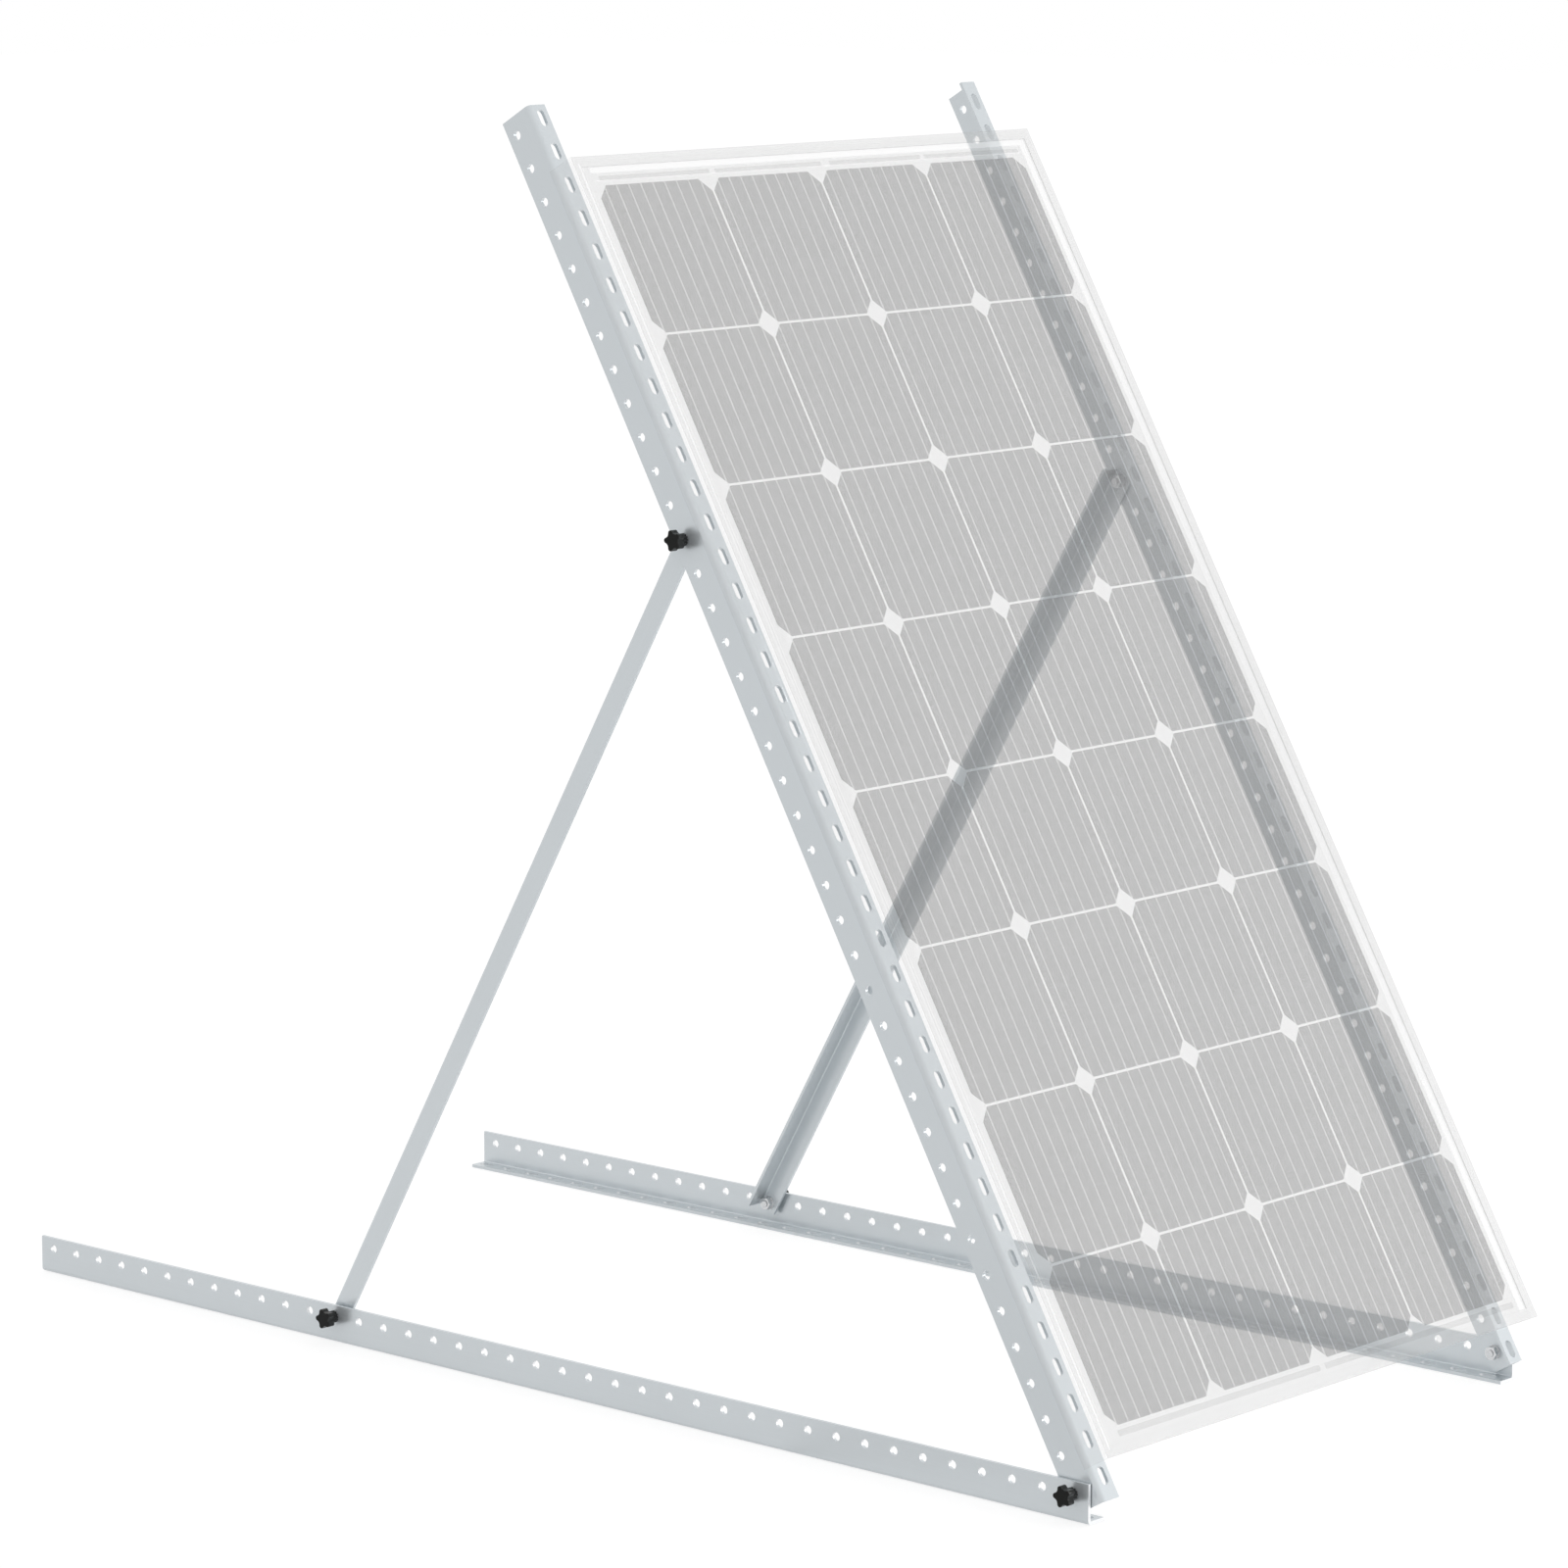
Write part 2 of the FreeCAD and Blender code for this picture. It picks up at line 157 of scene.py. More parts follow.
# Shared effects
def make_drawn_metal():
    """Bright metal: faint streaks along the piece, blotches, and a painted highlight that makes the cut
    ends and hole walls paler.
    """
    group, enter, leave = new_group(
        "drawn metal",
        [
            ("Colour", "NodeSocketColor", grey(0.6)),
            ("Cut Colour", "NodeSocketColor", grey(0.9)),
            ("Along", "NodeSocketVector", (0, 1, 0)),
            ("Streaks", "NodeSocketFloat", 0.04),
            ("Blotches", "NodeSocketFloat", 0.04),
            ("Roughness", "NodeSocketFloat", 0.2),
        ],
        [("Colour", "NodeSocketColor"), ("Roughness", "NodeSocketFloat"), ("Height", "NodeSocketFloat")],
    )
    links = group.links
    place = add(group, "ShaderNodeTexCoord").outputs["Object"]
    normal = add(group, "ShaderNodeNewGeometry").outputs["True Normal"]

    # Streaks: noise that is squeezed along the piece
    along = add(group, "ShaderNodeVectorMath", operation="DOT_PRODUCT")
    links.new(place, along.inputs[0])
    links.new(enter.outputs["Along"], along.inputs[1])
    shift = add(group, "ShaderNodeVectorMath", operation="SCALE")
    links.new(enter.outputs["Along"], shift.inputs[0])
    links.new(maths(group, "MULTIPLY", along.outputs["Value"], -0.985), shift.inputs["Scale"])
    squeezed = add(group, "ShaderNodeVectorMath", operation="ADD")
    links.new(place, squeezed.inputs[0])
    links.new(shift.outputs["Vector"], squeezed.inputs[1])
    streak = add(group, "ShaderNodeTexNoise", Scale=900.0, Detail=3.0)
    links.new(squeezed.outputs["Vector"], streak.inputs["Vector"])
    blotch = add(group, "ShaderNodeTexNoise", Scale=9.0, Detail=4.0)
    links.new(place, blotch.inputs["Vector"])

    # Painted highlight: faces that look along the piece, the cut ends and hole walls, are turned toward the
    # pale highlight colour
    facing = add(group, "ShaderNodeVectorMath", operation="DOT_PRODUCT")
    links.new(normal, facing.inputs[0])
    links.new(enter.outputs["Along"], facing.inputs[1])
    steep = maths(group, "ABSOLUTE", facing.outputs["Value"])
    end_highlight = add(group, "ShaderNodeMapRange", From_Min=0.6, From_Max=0.92)
    links.new(steep, end_highlight.inputs["Value"])

    streak_level = swing(group, streak.outputs["Fac"], enter.outputs["Streaks"])
    blotch_level = swing(group, blotch.outputs["Fac"], enter.outputs["Blotches"])
    level = maths(group, "ADD", maths(group, "ADD", streak_level, blotch_level), 1.0)
    tone = add(group, "ShaderNodeVectorMath", operation="SCALE")
    links.new(enter.outputs["Colour"], tone.inputs[0])
    links.new(level, tone.inputs["Scale"])
    colour = blend_colour(group, end_highlight.outputs["Result"], tone.outputs["Vector"], enter.outputs["Cut Colour"])
    links.new(colour, leave.inputs["Colour"])
    rough = maths(group, "ADD", enter.outputs["Roughness"], maths(group, "MULTIPLY", streak_level, 1.5))
    links.new(rough, leave.inputs["Roughness"])
    links.new(streak.outputs["Fac"], leave.inputs["Height"])
    return group


def make_edge_wear():
    """Mask of the piece's sharp edges, broken up by noise."""
    group, enter, leave = new_group(
        "edge wear",
        [("Width", "NodeSocketFloat", 0.0008), ("Break Up", "NodeSocketFloat", 0.5)],
        [("Mask", "NodeSocketFloat")],
    )
    links = group.links
    geometry = add(group, "ShaderNodeNewGeometry")
    bevel = add(group, "ShaderNodeBevel", samples=4)
    links.new(enter.outputs["Width"], bevel.inputs["Radius"])
    turned = add(group, "ShaderNodeVectorMath", operation="DOT_PRODUCT")
    links.new(bevel.outputs["Normal"], turned.inputs[0])
    links.new(geometry.outputs["True Normal"], turned.inputs[1])
    edge = add(group, "ShaderNodeMapRange", From_Min=0.995, From_Max=0.85)
    links.new(turned.outputs["Value"], edge.inputs["Value"])
    noise = add(group, "ShaderNodeTexNoise", Scale=160.0, Detail=4.0)
    links.new(add(group, "ShaderNodeTexCoord").outputs["Object"], noise.inputs["Vector"])
    loss = maths(group, "MULTIPLY", noise.outputs["Fac"], enter.outputs["Break Up"])
    patchy = maths(group, "SUBTRACT", 1.0, loss)
    links.new(maths(group, "MULTIPLY", edge.outputs["Result"], patchy), leave.inputs["Mask"])
    return group


def make_fine_grain():
    """Fine moulded or rolled grain: height for a bump, and a level that varies round 1."""
    group, enter, leave = new_group(
        "fine grain",
        [
            ("Scale", "NodeSocketFloat", 2500.0),
            ("Patches", "NodeSocketFloat", 20.0),
            ("Change", "NodeSocketFloat", 0.06),
        ],
        [("Level", "NodeSocketFloat"), ("Height", "NodeSocketFloat")],
    )
    links = group.links
    place = add(group, "ShaderNodeTexCoord").outputs["Object"]
    grain = add(group, "ShaderNodeTexNoise", Detail=2.0)
    patch = add(group, "ShaderNodeTexNoise", Detail=4.0)
    for texture, size in ((grain, "Scale"), (patch, "Patches")):
        links.new(place, texture.inputs["Vector"])
        links.new(enter.outputs[size], texture.inputs["Scale"])
    change = swing(group, patch.outputs["Fac"], enter.outputs["Change"])
    links.new(maths(group, "ADD", change, 1.0), leave.inputs["Level"])
    links.new(grain.outputs["Fac"], leave.inputs["Height"])
    return group


def make_slope_shade():
    """Painted shade: tone that dips softly half way up the panel."""
    group, enter, leave = new_group(
        "slope shade",
        [
            ("Middle", "NodeSocketFloat", 0.5),
            ("Reach", "NodeSocketFloat", 0.4),
            ("Depth", "NodeSocketFloat", 0.5),
        ],
        [("Level", "NodeSocketFloat")],
    )
    links = group.links
    height = add(group, "ShaderNodeSeparateXYZ")
    links.new(add(group, "ShaderNodeTexCoord").outputs["Object"], height.inputs[0])
    off = maths(group, "ABSOLUTE", maths(group, "SUBTRACT", height.outputs["Z"], enter.outputs["Middle"]))
    near = add(group, "ShaderNodeMapRange", interpolation_type="SMOOTHSTEP", From_Min=1.0, From_Max=0.0)
    links.new(maths(group, "DIVIDE", off, enter.outputs["Reach"]), near.inputs["Value"])
    dip = maths(group, "MULTIPLY", near.outputs["Result"], enter.outputs["Depth"])
    links.new(maths(group, "SUBTRACT", 1.0, dip), leave.inputs["Level"])
    return group


def make_ribbon_lines():
    """Level that drops along the fine ribbons, nine up each column of cells."""
    group, enter, leave = new_group(
        "ribbon lines",
        [("Thinning", "NodeSocketFloat", 0.5)],
        [("Level", "NodeSocketFloat")],
    )
    links = group.links
    across = add(group, "ShaderNodeSeparateXYZ")
    links.new(add(group, "ShaderNodeTexCoord").outputs["Object"], across.inputs[0])
    step = CELL_SIZE + CELL_GAP_ACROSS
    from_gap = maths(group, "FLOORED_MODULO", across.outputs["X"], step)
    in_column = maths(group, "SUBTRACT", from_gap, step / 2)
    off = maths(group, "ABSOLUTE", maths(group, "PINGPONG", in_column, RIBBON_PITCH / 2))
    line = add(group, "ShaderNodeMapRange", From_Min=RIBBON_WIDTH * 0.62, From_Max=RIBBON_WIDTH * 0.38)
    links.new(off, line.inputs["Value"])
    thinned = maths(group, "MULTIPLY", line.outputs["Result"], enter.outputs["Thinning"])
    links.new(maths(group, "SUBTRACT", 1.0, thinned), leave.inputs["Level"])
    return group


DRAWN_METAL = make_drawn_metal()
EDGE_WEAR = make_edge_wear()
FINE_GRAIN = make_fine_grain()
SLOPE_SHADE = make_slope_shade()
RIBBON_LINES = make_ribbon_lines()


def use(tree, group, **values):
    """The group placed in a material, with this material's own values."""
    node = tree.nodes.new("ShaderNodeGroup")
    node.node_tree = group
    for key, value in values.items():
        node.inputs[key.replace("_", " ")].default_value = value
    return node


def start_material(name):
    """New material, with its tree and its main shader."""
    material = bpy.data.materials.new(name)
    material.use_nodes = True
    tree = material.node_tree
    return material, tree, tree.nodes["Principled BSDF"]


# Finishes
def bright_metal(name, colour, end_highlight, along, roughness):
    """Rail or strut metal; along is the direction in which the piece was drawn."""
    material, tree, shader = start_material(name)
    # Painted highlight: end_highlight is the pale colour painted on the cut ends and hole walls; the rubbed
    # edges are worn toward the same colour
    drawn = use(tree, DRAWN_METAL, Colour=colour, Cut_Colour=end_highlight, Along=along, Roughness=roughness)
    wear = use(tree, EDGE_WEAR, Width=0.0007, Break_Up=0.6)
    rubbed = maths(tree, "MULTIPLY", wear.outputs["Mask"], 0.4)
    colour_out = blend_colour(tree, rubbed, drawn.outputs["Colour"], end_highlight)
    tree.links.new(colour_out, shader.inputs["Base Color"])
    tree.links.new(drawn.outputs["Roughness"], shader.inputs["Roughness"])
    bump_from(tree, shader, drawn.outputs["Height"], 0.04, 0.0002)
    shader.inputs["Metallic"].default_value = 0.5
    return material


def zinc_steel():
    """Nuts, washers and studs."""
    material, tree, shader = start_material("zinc steel")
    grain = use(tree, FINE_GRAIN, Scale=1800.0, Patches=300.0, Change=0.3)
    wear = use(tree, EDGE_WEAR, Width=0.0005, Break_Up=0.4)
    tone = scaled_colour(tree, (0.56, 0.57, 0.58), grain.outputs["Level"])
    colour = blend_colour(tree, wear.outputs["Mask"], tone, grey(0.9))
    tree.links.new(colour, shader.inputs["Base Color"])
    tree.links.new(maths(tree, "MULTIPLY", grain.outputs["Level"], 0.16), shader.inputs["Roughness"])
    bump_from(tree, shader, grain.outputs["Height"], 0.08, 0.0001)
    shader.inputs["Metallic"].default_value = 1.0
    return material


def black_plastic(name, level, roughness, polish):
    """Moulded black plastic: faint grain, rubbed edges, and flanks more polished than the end face."""
    material, tree, shader = start_material(name)
    grain = use(tree, FINE_GRAIN, Scale=2600.0, Patches=220.0, Change=0.5)
    wear = use(tree, EDGE_WEAR, Width=0.0006, Break_Up=0.9)
    tone = scaled_colour(tree, (level, level * 1.06, level), grain.outputs["Level"])
    rubbed = maths(tree, "MULTIPLY", wear.outputs["Mask"], 0.3)
    colour = blend_colour(tree, rubbed, tone, grey(level * 5))
    tree.links.new(colour, shader.inputs["Base Color"])
    tree.links.new(maths(tree, "MULTIPLY", grain.outputs["Level"], roughness), shader.inputs["Roughness"])
    bump_from(tree, shader, grain.outputs["Height"], 0.12, 0.0001)
    facing = add(tree, "ShaderNodeSeparateXYZ")
    tree.links.new(add(tree, "ShaderNodeNewGeometry").outputs["True Normal"], facing.inputs[0])
    flank = add(tree, "ShaderNodeMapRange", From_Min=0.75, From_Max=0.35)
    tree.links.new(maths(tree, "ABSOLUTE", facing.outputs["X"]), flank.inputs["Value"])
    tree.links.new(maths(tree, "MULTIPLY", flank.outputs["Result"], polish), shader.inputs["Coat Weight"])
    shader.inputs["Coat Roughness"].default_value = 0.06
    shader.inputs["Coat IOR"].default_value = 1.6
    shader.inputs["Specular IOR Level"].default_value = 0.12
    return material


def see_through(name, level, opacity, roughness, dip=0.0, change=0.04, ribbons=False):
    """Finish of the panel's pieces, which the rails show through; a face seen from behind is clear."""
    material, tree, shader = start_material(name)
    grain = use(tree, FINE_GRAIN, Scale=1500.0, Patches=14.0, Change=change)
    # Painted shade: the tone dips half way up the slope, by dip
    shade = use(tree, SLOPE_SHADE, Middle=0.50, Reach=0.46, Depth=dip)
    shaded = maths(tree, "MULTIPLY", grain.outputs["Level"], shade.outputs["Level"])
    tree.links.new(scaled_colour(tree, (level, level, level), shaded), shader.inputs["Base Color"])
    tree.links.new(maths(tree, "MULTIPLY", grain.outputs["Level"], roughness), shader.inputs["Roughness"])
    bump_from(tree, shader, grain.outputs["Height"], 0.03, 0.0001)
    front = maths(tree, "SUBTRACT", 1.0, add(tree, "ShaderNodeNewGeometry").outputs["Backfacing"])
    seen = maths(tree, "MULTIPLY", front, add(tree, "ShaderNodeLightPath").outputs["Is Camera Ray"])
    alpha = maths(tree, "MULTIPLY", seen, opacity)
    if ribbons:
        thin = use(tree, RIBBON_LINES, Thinning=0.56)
        alpha = maths(tree, "MULTIPLY", alpha, thin.outputs["Level"])
    tree.links.new(alpha, shader.inputs["Alpha"])
    shader.inputs["Specular IOR Level"].default_value = 0.1
    return material


# The metals, plastics and see-through finishes in use
RAIL_COLOUR = (0.680, 0.722, 0.747, 1)
# Painted highlight colours of the cut ends and hole walls, brightest on the base rails
END_HIGHLIGHT_COLOUR = (0.82, 0.85, 0.87, 1)
BRIGHT_END_HIGHLIGHT_COLOUR = (0.97, 0.98, 0.99, 1)
STRUT_LEAN = math.radians(120)
STRUT_AXIS = (0, math.cos(STRUT_LEAN), math.sin(STRUT_LEAN))

base_metal = bright_metal("base rail metal", RAIL_COLOUR, BRIGHT_END_HIGHLIGHT_COLOUR, (0, 1, 0), 0.30)
tilt_metal = bright_metal("tilt rail metal", RAIL_COLOUR, END_HIGHLIGHT_COLOUR, tuple(UP_SLOPE), 0.30)
strut_metal = bright_metal("strut metal", RAIL_COLOUR, END_HIGHLIGHT_COLOUR, STRUT_AXIS, 0.30)
steel = zinc_steel()
knob_plastic = black_plastic("knob plastic", 0.010, 0.32, 0.5)
nylon = black_plastic("spacer nylon", 0.05, 0.5, 0.2)
lip_finish = see_through("frame lip see-through", 0.54, 0.30, 0.35, dip=0.22)
line_finish = see_through("frame edge see-through", 0.50, 0.40, 0.35, dip=0.3)
# Painted highlight: the white line on the left side's lip
lip_highlight_finish = see_through("lip highlight see-through", 1.0, 0.30, 0.3, dip=0.4)
wall_finish = see_through("frame wall see-through", 0.70, 0.12, 0.4, dip=0.3)
clear_finish = see_through("clear see-through", 0.90, 0.03, 0.2)
milk_finish = see_through("glass see-through", 0.52, 0.30, 0.10, change=0.02)
margin_finish = see_through("margin see-through", 0.54, 0.30, 0.10, dip=0.22)
# Painted reflection: white lines on the glass's face along two sides
reflection_line_finish = see_through("painted reflection see-through", 1.0, 0.28, 0.3, dip=0.4)
cell_finish = see_through("cell see-through", 0.06, 0.50, 0.25, ribbons=True)
sheet_finish = see_through("backsheet see-through", 0.80, 0.35, 0.45)
ribbon_finish = see_through("ribbon see-through", 0.85, 0.06, 0.30)
cross_finish = see_through("cross ribbon see-through", 0.05, 0.15, 0.30)


def finish_for(name):
    """Finish of a CAD node, by what the node is."""
    if name.startswith("base_rail"):
        return base_metal
    if name.startswith("tilt_rail"):
        return tilt_metal
    if name in ("strut_left", "strut_right"):
        return strut_metal
    if "_knob_" in name:
        return knob_plastic
    if name.startswith("pivot_spacer"):
        return nylon
    sheets = {"panel_glass": milk_finish, "panel_cells": cell_finish, "panel_backsheet": sheet_finish}
    if name.startswith("panel_frame"):
        return lip_finish
    return sheets.get(name, steel)


for name, piece in nodes.items():
    piece.data.materials.clear()
    piece.data.materials.append(finish_for(name))


def reach(name, direction):
    """Least and greatest distance of a CAD node's points along a direction."""
    distances = [v.co.dot(direction) for v in nodes[name].data.vertices]
    return min(distances), max(distances)


# Panel measured on its CAD nodes: across, up the slope, and out of its face
half_panel = reach("panel_frame_right", ACROSS)[1]
panel_foot = reach("panel_frame_bottom", UP_SLOPE)[0]
panel_head = reach("panel_frame_top", UP_SLOPE)[1]
panel_back = reach("panel_frame_left", OUT_OF_PANEL)[0]
cells_foot, cells_head = reach("panel_cells", UP_SLOPE)
cells_back, cells_face = reach("panel_cells", OUT_OF_PANEL)
glass_face = reach("panel_glass", OUT_OF_PANEL)[1]
sheet_back = reach("panel_backsheet", OUT_OF_PANEL)[0]


def on_panel(x, up, out):
    """Point of the panel: across, up the slope from its foot, and out from its back."""
    return ACROSS * x + UP_SLOPE * (panel_foot + up) + OUT_OF_PANEL * (panel_back + out)


def new_piece(name, mesh_maker, materials, tidy=True):
    """Mesh object made by mesh_maker, riding on the mount."""
    mesh = bpy.data.meshes.new(name)
    shape = bmesh.new()
    mesh_maker(shape)
    if tidy:
        bmesh.ops.recalc_face_normals(shape, faces=shape.faces)
    shape.to_mesh(mesh)
    shape.free()
    piece = bpy.data.objects.new(name, mesh)
    bpy.context.scene.collection.objects.link(piece)
    for material in materials:
        mesh.materials.append(material)
    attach(piece, "mount")
    return piece


def slab(shape, x0, x1, up0, up1, out0, out1, finish=0):
    """Thin block on the panel between two places across, up the slope and out of it."""
    flat = ((x0, up0), (x1, up0), (x1, up1), (x0, up1))
    corners = [shape.verts.new(on_panel(x, up, out)) for out in (out0, out1) for x, up in flat]
    sides = [(0, 3, 2, 1), (4, 5, 6, 7), (0, 1, 5, 4), (1, 2, 6, 5), (2, 3, 7, 6), (3, 0, 4, 7)]
    for side in sides:
        face = shape.faces.new([corners[i] for i in side])
        face.material_index = finish


# Panel frame: one section carried round the four sides, mitred at the corners
LIP, EDGE, LINE, WALL, CLEAR = range(5)
panel_length = panel_head - panel_foot
FRAME_SECTION = [
    (0.0, HAIR),
    (0.0, FRAME_DEPTH - EDGE_EASE),
    (EDGE_EASE, FRAME_DEPTH),
    (EDGE_LINE, FRAME_DEPTH),
    (LIP_HIGHLIGHT[0], FRAME_DEPTH),
    (LIP_HIGHLIGHT[1], FRAME_DEPTH),
    (FRAME_LIP - LIP_EASE, FRAME_DEPTH),
    (FRAME_LIP, FRAME_DEPTH - LIP_EASE),
    (FRAME_LIP, FRAME_DEPTH - LIP_THICKNESS),
    (FRAME_WALL, FRAME_DEPTH - LIP_THICKNESS),
    (FRAME_WALL, SHELF_TOP),
    (FRAME_LIP, SHELF_TOP),
    (FRAME_LIP, SHELF_TOP - FRAME_WALL),
    (FRAME_WALL, SHELF_TOP - FRAME_WALL),
    (FRAME_WALL, FRAME_WALL),
    (FRAME_FOOT, FRAME_WALL),
    (FRAME_FOOT, HAIR),
]
FRAME_FINISHES = [WALL] * 2 + [EDGE] + [LIP] * 5 + [CLEAR] * 8 + [WALL]
LIP_HIGHLIGHT_AT = 4
BOTTOM_SIDE, RIGHT_SIDE, TOP_SIDE, LEFT_SIDE = range(4)


def draw_frame(shape):
    """The section's points become rings round the panel, and faces join each ring to the next."""
    rings = []
    for inset, out in FRAME_SECTION:
        x = half_panel - inset
        low, high = inset, panel_length - inset
        corners = ((-x, low), (x, low), (x, high), (-x, high))
        rings.append([shape.verts.new(on_panel(cx, up, out)) for cx, up in corners])
    for i, ring in enumerate(rings):
        following = rings[(i + 1) % len(rings)]
        for side in range(4):
            far = (side + 1) % 4
            face = shape.faces.new([ring[side], ring[far], following[far], following[side]])
            face.material_index = FRAME_FINISHES[i]
            if i == 0 and side in (BOTTOM_SIDE, TOP_SIDE):
                face.material_index = CLEAR
            # Painted highlight: the left side's lip carries the white line
            if i == LIP_HIGHLIGHT_AT and side == LEFT_SIDE:
                face.material_index = LINE


frame_finishes = [lip_finish, line_finish, lip_highlight_finish, wall_finish, clear_finish]
panel_frame = new_piece("panel_frame", draw_frame, frame_finishes)
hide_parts("panel_frame_left", "panel_frame_right", "panel_frame_bottom", "panel_frame_top")

# Glass: its face is milky over the cells, with pale margins and painted reflections as white lines on two
# sides
GLASS_OUT = glass_face - panel_back
CELLS_OUT = cells_face - panel_back
RIBBONS_OUT = CELLS_OUT + RIBBON_LIFT
GLASS_SHIFT = 0.0014
GLASS_TUCK = 0.0004

# Painted reflection lines and the cells' field, as distances inward from the panel's edges: side, foot and
# head
REFLECTION_RIGHT = (0.0105, 0.0172)
REFLECTION_TOP = (0.0094, 0.0144)
REFLECTION_START = 0.0165
THIN_REFLECTION_TOP = (0.0206, 0.0214)
CELL_FIELD = (0.0190, 0.0208, 0.0235)
MILK, MARGIN, REFLECTION, BARE = range(4)


def draw_glass(shape):
    """Glass slab; its face is cut into fields of different finish."""
    left, right = -half_panel + FRAME_LIP + GLASS_SHIFT, half_panel - FRAME_LIP + GLASS_SHIFT
    low, high = FRAME_LIP, panel_length - FRAME_LIP + GLASS_TUCK
    xs = [left, -half_panel + REFLECTION_START, -half_panel + CELL_FIELD[0], half_panel - CELL_FIELD[0],
          half_panel - REFLECTION_RIGHT[1], half_panel - REFLECTION_RIGHT[0], right]
    from_head = (CELL_FIELD[2], THIN_REFLECTION_TOP[1], THIN_REFLECTION_TOP[0], REFLECTION_TOP[1], REFLECTION_TOP[0])
    ups = [low, CELL_FIELD[1]] + [panel_length - inset for inset in from_head] + [high]
    grid = [[shape.verts.new(on_panel(x, up, GLASS_OUT)) for x in xs] for up in ups]
    for row in range(len(ups) - 1):
        for column in range(len(xs) - 1):
            face = shape.faces.new([grid[row][column], grid[row][column + 1],
                                    grid[row + 1][column + 1], grid[row + 1][column]])
            face.material_index = MARGIN
            if row == 1 and column == 2:
                face.material_index = MILK
            # Painted reflections: white lines along the right side and the head, and a thin one above the
            # cells
            if (row == 5 and column >= 1 and column < 5) or (row == 3 and column == 2):
                face.material_index = REFLECTION
            if column == 4 and row < 6:
                face.material_index = REFLECTION
    under_out = CELLS_OUT + HAIR
    under = [[shape.verts.new(on_panel(x, up, under_out)) for x in (left, right)] for up in (low, high)]
    back = shape.faces.new([under[0][0], under[1][0], under[1][1], under[0][1]])
    back.material_index = BARE
    rims = (
        (grid[0][0], grid[-1][0], under[1][0], under[0][0]),
        (grid[-1][-1], grid[0][-1], under[0][1], under[1][1]),
        (grid[-1][0], grid[-1][-1], under[1][1], under[1][0]),
        (grid[0][-1], grid[0][0], under[0][0], under[0][1]),
    )
    for rim in rims:
        shape.faces.new(rim).material_index = BARE


glass_finishes = [milk_finish, margin_finish, reflection_line_finish, clear_finish]
glass_sheet = new_piece("glass_sheet", draw_glass, glass_finishes, tidy=False)
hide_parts("panel_glass")

# Backsheet: clear from the front, white from behind
SHEET_OUT = cells_back - panel_back - HAIR
SHEET_INSET = 0.0022


def draw_backsheet(shape):
    """Sheet whose back face alone is white."""
    x = half_panel - SHEET_INSET
    slab(shape, -x, x, SHEET_INSET, panel_length - SHEET_INSET, sheet_back - panel_back, SHEET_OUT, 1)
    shape.faces.ensure_lookup_table()
    shape.faces[0].material_index = 0


backsheet = new_piece("white_backsheet", draw_backsheet, [sheet_finish, clear_finish])
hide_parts("panel_backsheet")


def column_middle(column):
    """Middle of a column of cells, across the panel."""
    return (column - (CELL_COLUMNS - 1) / 2) * (CELL_SIZE + CELL_GAP_ACROSS)


def draw_ribbons(shape):
    """Thin ribbons up every column of cells, laid in the hair gap under the glass."""
    low, high = cells_foot - panel_foot, cells_head - panel_foot
    for column in range(CELL_COLUMNS):
        for i in range(RIBBONS_PER_CELL):
            x = column_middle(column) + (i - (RIBBONS_PER_CELL - 1) / 2) * RIBBON_PITCH
            slab(shape, x - RIBBON_WIDTH / 2, x + RIBBON_WIDTH / 2, low, high,
                 RIBBONS_OUT, RIBBONS_OUT + RIBBON_HEIGHT)


new_piece("cell_ribbons", draw_ribbons, [ribbon_finish])

# Cross ribbons that join the columns: from and to across, and their lower and upper side up the slope
CROSS_FOOT = (0.0130, 0.0178)
CROSS_HEAD = (0.0161, 0.0203)
CROSS_RUNS_FOOT = ((-0.2475, -0.0020), (0.0045, 0.2530))
CROSS_RUNS_HEAD = ((-0.2475, -0.1230), (-0.1170, 0.0080), (0.0180, 0.1290), (0.1345, 0.2530))


def draw_cross_ribbons(shape):
    """Runs of ribbon across the panel's foot and head."""
    out0, out1 = RIBBONS_OUT, RIBBONS_OUT + RIBBON_HEIGHT
    for x0, x1 in CROSS_RUNS_FOOT:
        slab(shape, x0, x1, *CROSS_FOOT, out0, out1)
    for x0, x1 in CROSS_RUNS_HEAD:
        slab(shape, x0, x1, panel_length - CROSS_HEAD[1], panel_length - CROSS_HEAD[0], out0, out1)


new_piece("cross_ribbons", draw_cross_ribbons, [cross_finish])

# Floor and light
FLOOR_DROP = 0.0004
FLOOR_REACH = 40.0


def seen_or_mirrored(tree, camera_level, mirror_level):
    """Level that is one value to the camera and another in reflections and through glass."""
    path = add(tree, "ShaderNodeLightPath")
    mirrored = maths(tree, "MAXIMUM", path.outputs["Is Glossy Ray"], path.outputs["Is Transmission Ray"])
    to_camera = maths(tree, "MULTIPLY", path.outputs["Is Camera Ray"], camera_level)
    return maths(tree, "ADD", to_camera, maths(tree, "MULTIPLY", mirrored, mirror_level))


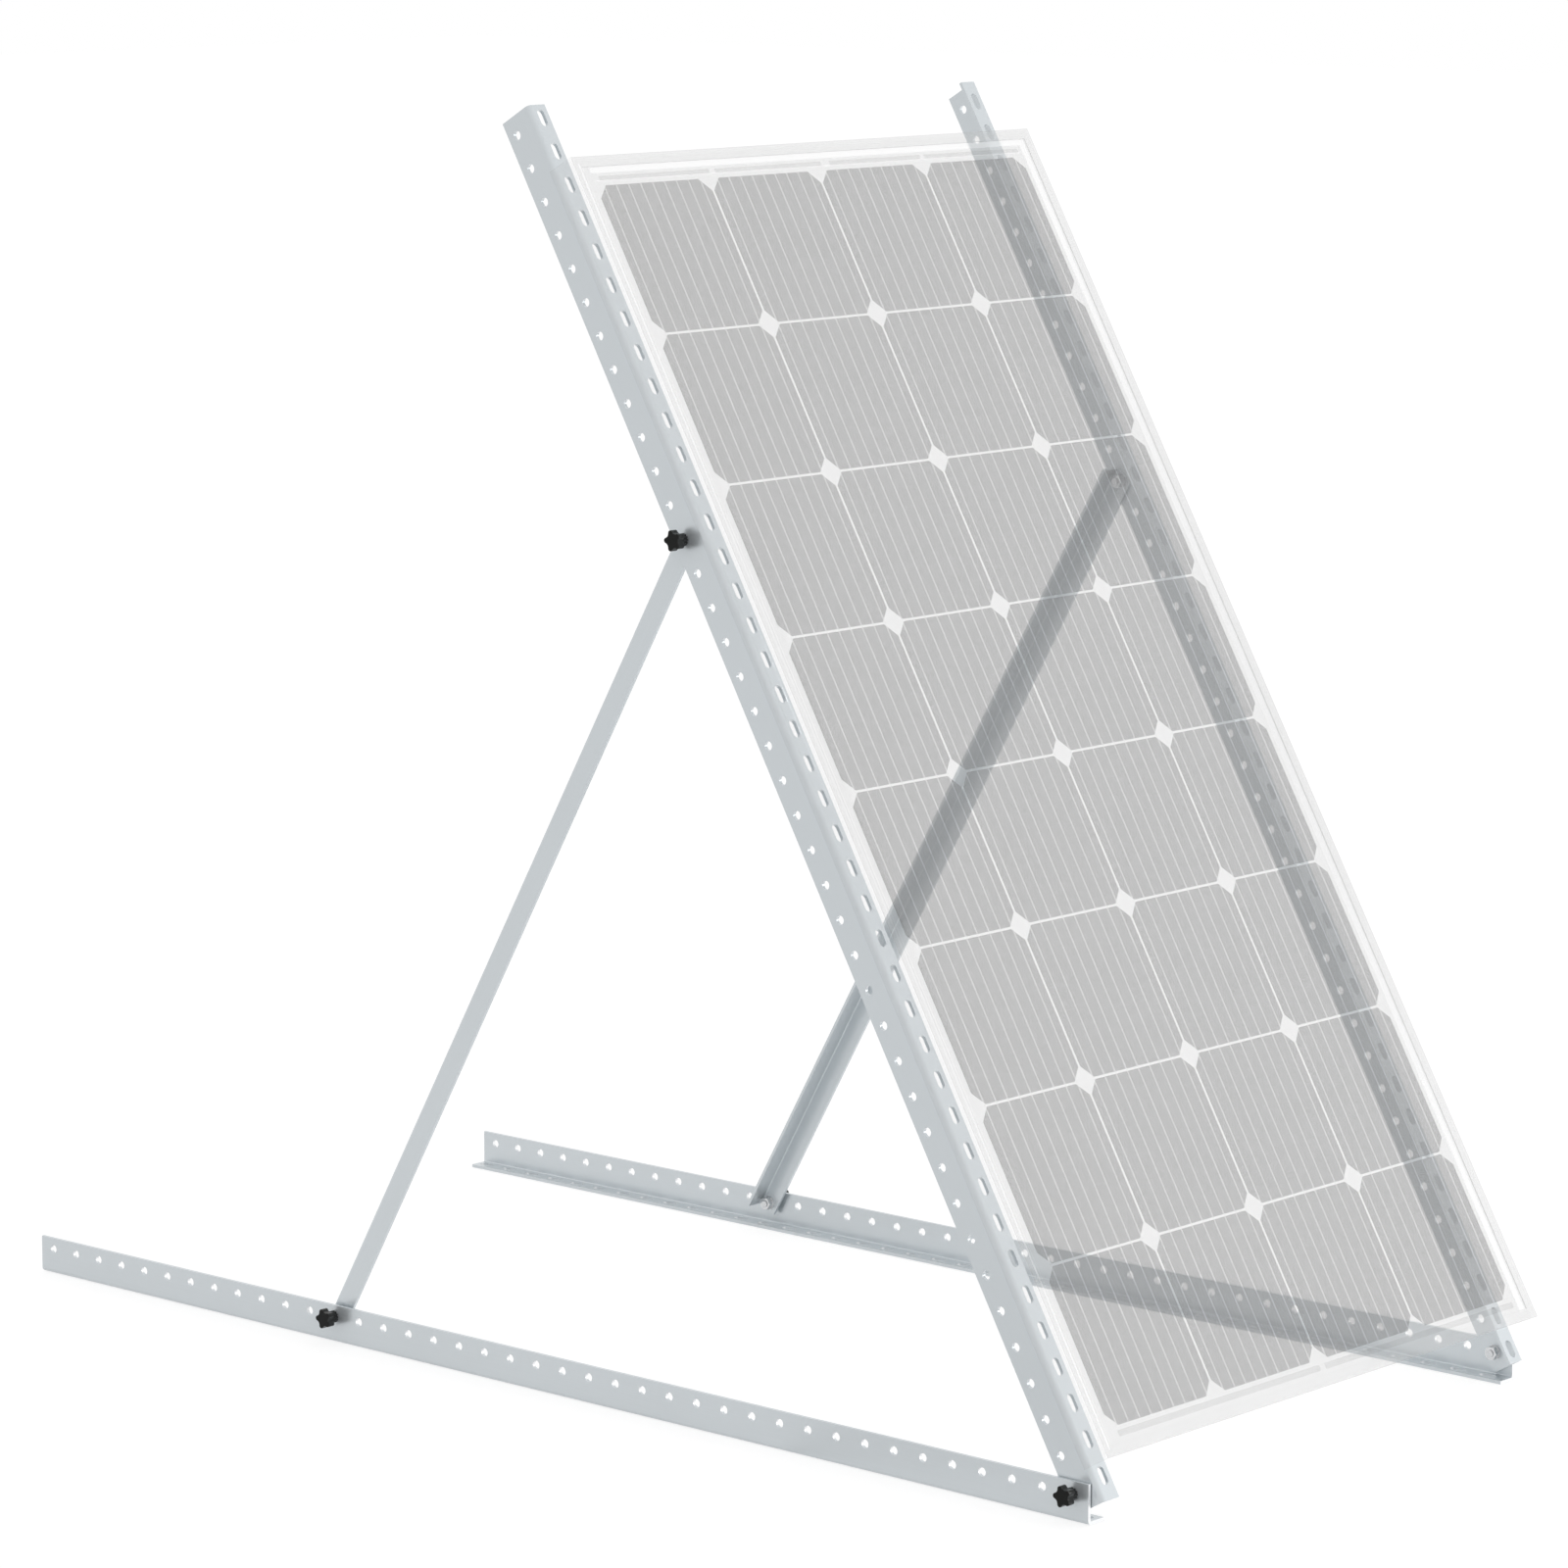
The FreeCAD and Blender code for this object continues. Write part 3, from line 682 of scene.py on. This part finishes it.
def plain_floor():
    """Pale floor that stays white to the camera and in reflections, and keeps the shadow."""
    bpy.ops.mesh.primitive_plane_add(size=FLOOR_REACH, location=(0, 0, -FLOOR_DROP))
    floor = bpy.context.object
    floor.name = "floor"
    material, tree, shader = start_material("white floor")
    shader.inputs["Base Color"].default_value = grey(0.35)
    shader.inputs["Roughness"].default_value = 0.9
    shader.inputs["Specular IOR Level"].default_value = 0.0
    shader.inputs["Emission Color"].default_value = grey(1.0)
    tree.links.new(seen_or_mirrored(tree, 0.75, 0.82), shader.inputs["Emission Strength"])
    floor.data.materials.append(material)


def white_surround():
    """World: white to the camera and in reflections, a plain soft light on everything else."""
    world = bpy.data.worlds.new("surround")
    bpy.context.scene.world = world
    world.use_nodes = True
    tree = world.node_tree
    background = tree.nodes["Background"]
    background.inputs["Color"].default_value = grey(1.0)
    strength = maths(tree, "ADD", seen_or_mirrored(tree, 0.2, 0.2), 0.8)
    tree.links.new(strength, background.inputs["Strength"])


def soft_lamp(name, place, aim, size, power):
    """Area lamp at a place, turned to what it lights."""
    light = bpy.data.lights.new(name, "AREA")
    light.shape = "RECTANGLE"
    light.size, light.size_y = size
    light.energy = power
    lamp = bpy.data.objects.new(name, light)
    lamp.location = place
    lamp.rotation_euler = (Vector(aim) - Vector(place)).to_track_quat("-Z", "Y").to_euler()
    bpy.context.scene.collection.objects.link(lamp)


def make_camera():
    """Camera at the photograph's place."""
    data = bpy.data.cameras.new("camera")
    data.lens = CAMERA_LENS
    data.sensor_width = SENSOR
    data.clip_start, data.clip_end = 0.05, 100
    camera = bpy.data.objects.new("camera", data)
    camera.location = CAMERA_PLACE
    camera.rotation_euler = (math.radians(90 - CAMERA_DIP), 0, math.radians(-CAMERA_HEADING))
    bpy.context.scene.collection.objects.link(camera)
    bpy.context.scene.camera = camera


plain_floor()
white_surround()
soft_lamp("low front lamp", (1.45, -3.25, 0.38), (0, 0, 0.38), (3.0, 0.7), 40)
make_camera()

scene = bpy.context.scene
scene.view_settings.view_transform = "Standard"
scene.cycles.transparent_max_bounces = 48
